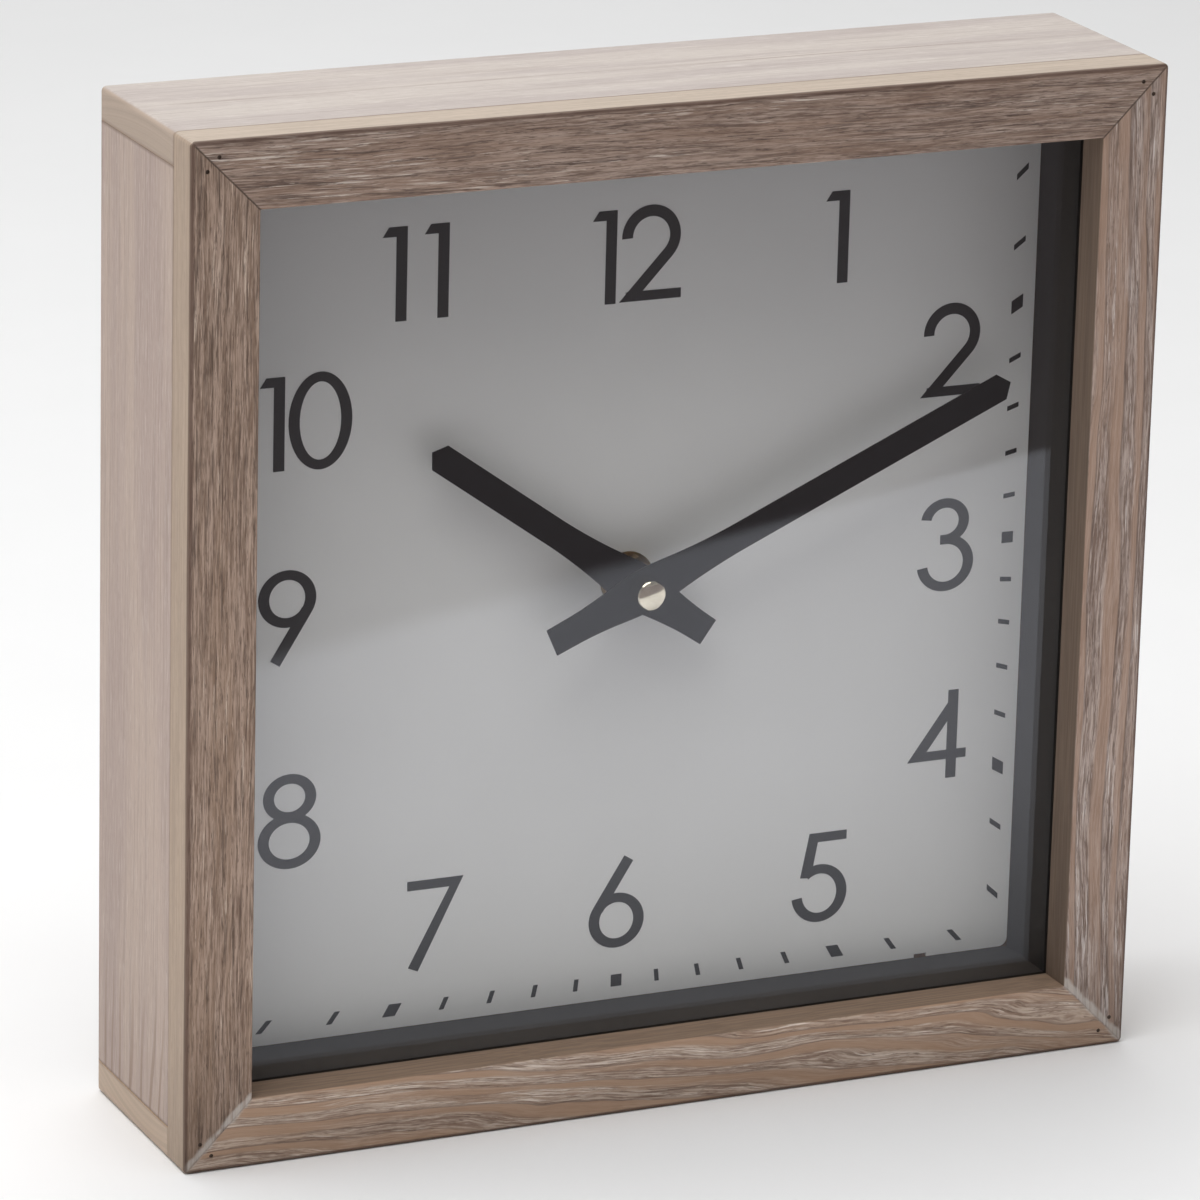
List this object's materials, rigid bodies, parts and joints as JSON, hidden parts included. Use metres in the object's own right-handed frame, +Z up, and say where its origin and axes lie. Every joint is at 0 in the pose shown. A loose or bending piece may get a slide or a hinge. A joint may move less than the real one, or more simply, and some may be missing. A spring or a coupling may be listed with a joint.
{
  "type": "wall clock",
  "caption": "Square wooden wall clock: mitred brushed-wood front frame, glass, square dial with Arabic numerals, black hands and a quartz movement in the open back.",
  "frame": {"origin": "middle of the case footprint, on the surface the case stands on", "axes": "+Z up, +X to the right seen from the front, +Y towards the wall, dial faces -Y"},
  "size_m": [0.22, 0.052, 0.22],
  "materials": {
    "rail_wood": "brushed, lime washed",
    "board_wood": "smooth, pale",
    "block_wood": "sawn pine",
    "glass": "clear",
    "hardboard": "black painted hardboard",
    "dial_print": "satin off-white",
    "ink": "satin black print",
    "black_card": "matte black",
    "steel": "drawn",
    "zinc_steel": "zinc plated",
    "black_plastic": "fine texture",
    "white_plastic": "moulded",
    "brass": "dull",
    "cap_brass": "polished, pale",
    "rubber": "matte",
    "hand_black": "satin black",
    "magnet": "ground",
    "copper": "enamelled wire",
    "board_green": "solder mask",
    "black_resin": "epoxy",
    "cell_sleeve": "plain printed sleeve"
  },
  "bodies": {
    "clock_body": {"top_board": "board_wood", "bottom_board": "board_wood", "left_board": "board_wood", "right_board": "board_wood", "front_rail_top": "rail_wood", "front_rail_right": "rail_wood", "front_rail_bottom": "rail_wood", "front_rail_left": "rail_wood", "rail_pins_top_left": "steel", "corner_block_top_left": "block_wood", "rail_pins_top_right": "steel", "corner_block_top_right": "block_wood", "rail_pins_bottom_left": "steel", "corner_block_bottom_left": "block_wood", "rail_pins_bottom_right": "steel", "corner_block_bottom_right": "block_wood", "glass_pane": "glass", "dial_board": "hardboard", "dial_sheet": "dial_print", "dial_numerals": "ink", "minute_track": "ink", "hanger_plate": "zinc_steel", "hanger_screw_left": "zinc_steel", "hanger_screw_right": "zinc_steel", "spacer_top": "black_card", "spacer_bottom": "black_card", "spacer_left": "black_card", "spacer_right": "black_card", "movement_case": "black_plastic", "movement_cover": "black_plastic", "train_plate": "white_plastic", "bushing_nut": "brass", "dial_washer": "brass", "rubber_washer": "rubber", "stator": "steel", "coil_bobbin": "white_plastic", "coil_winding": "copper", "circuit_board": "board_green", "chip_cap": "black_resin", "quartz_crystal": "steel", "contact_plus": "zinc_steel", "contact_minus": "zinc_steel"},
    "minute_body": {"minute_arbor": "white_plastic", "minute_hand": "hand_black", "cap_nut": "cap_brass", "clutch_spring": "brass"},
    "hour_body": {"hour_wheel": "white_plastic", "hour_hand": "hand_black"},
    "motion_body": {"motion_wheel": "white_plastic"},
    "knob_body": {"setting_knob": "black_plastic"},
    "rotor_body": {"rotor_pinion": "white_plastic", "rotor_magnet": "magnet"},
    "intermediate_body": {"intermediate_wheel": "white_plastic"},
    "seconds_body": {"seconds_wheel": "white_plastic"},
    "third_body": {"third_wheel": "white_plastic"},
    "clutch_body": {"clutch_wheel": "white_plastic"},
    "battery_body": {"battery_can": "zinc_steel", "battery_sleeve": "cell_sleeve"}
  },
  "joints": [
    {"name": "minute_spin", "type": "hinge", "parent": "clock_body", "child": "minute_body", "pos_m": [0, 0, 0.11], "axis": [0, 1, 0], "continuous": true},
    {"name": "hour_spin", "type": "hinge", "parent": "clock_body", "child": "hour_body", "pos_m": [0, 0, 0.11], "axis": [0, 1, 0], "continuous": true},
    {"name": "motion_spin", "type": "hinge", "parent": "clock_body", "child": "motion_body", "pos_m": [0.0072, 0, 0.11], "axis": [0, 1, 0], "continuous": true},
    {"name": "knob_spin", "type": "hinge", "parent": "clock_body", "child": "knob_body", "pos_m": [0.0144, 0, 0.11], "axis": [0, 1, 0], "continuous": true},
    {"name": "rotor_spin", "type": "hinge", "parent": "clock_body", "child": "rotor_body", "pos_m": [-0.01018, 0, 0.12634], "axis": [0, 1, 0], "continuous": true},
    {"name": "intermediate_spin", "type": "hinge", "parent": "clock_body", "child": "intermediate_body", "pos_m": [-0.00458, 0, 0.12634], "axis": [0, 1, 0], "continuous": true},
    {"name": "seconds_spin", "type": "hinge", "parent": "clock_body", "child": "seconds_body", "pos_m": [-0.00158, 0, 0.12114], "axis": [0, 1, 0], "continuous": true},
    {"name": "third_spin", "type": "hinge", "parent": "clock_body", "child": "third_body", "pos_m": [0.00579, 0, 0.11689], "axis": [0, 1, 0], "continuous": true},
    {"name": "clutch_spin", "type": "hinge", "parent": "clock_body", "child": "clutch_body", "pos_m": [0, 0, 0.11], "axis": [0, 1, 0], "continuous": true},
    {"name": "battery_slide", "type": "slide", "parent": "clock_body", "child": "battery_body", "axis": [0, 1, 0], "range_m": [0, 0.03]}
  ],
  "couplings": [
    {"joint": "hour_spin", "follows": "minute_spin", "ratio": 0.083333},
    {"joint": "motion_spin", "follows": "minute_spin", "ratio": -0.33333},
    {"joint": "knob_spin", "follows": "minute_spin", "ratio": 1},
    {"joint": "intermediate_spin", "follows": "rotor_spin", "ratio": -0.16667},
    {"joint": "seconds_spin", "follows": "rotor_spin", "ratio": 0.033333},
    {"joint": "third_spin", "follows": "rotor_spin", "ratio": -0.0044444},
    {"joint": "clutch_spin", "follows": "rotor_spin", "ratio": 0.00055556}
  ]
}
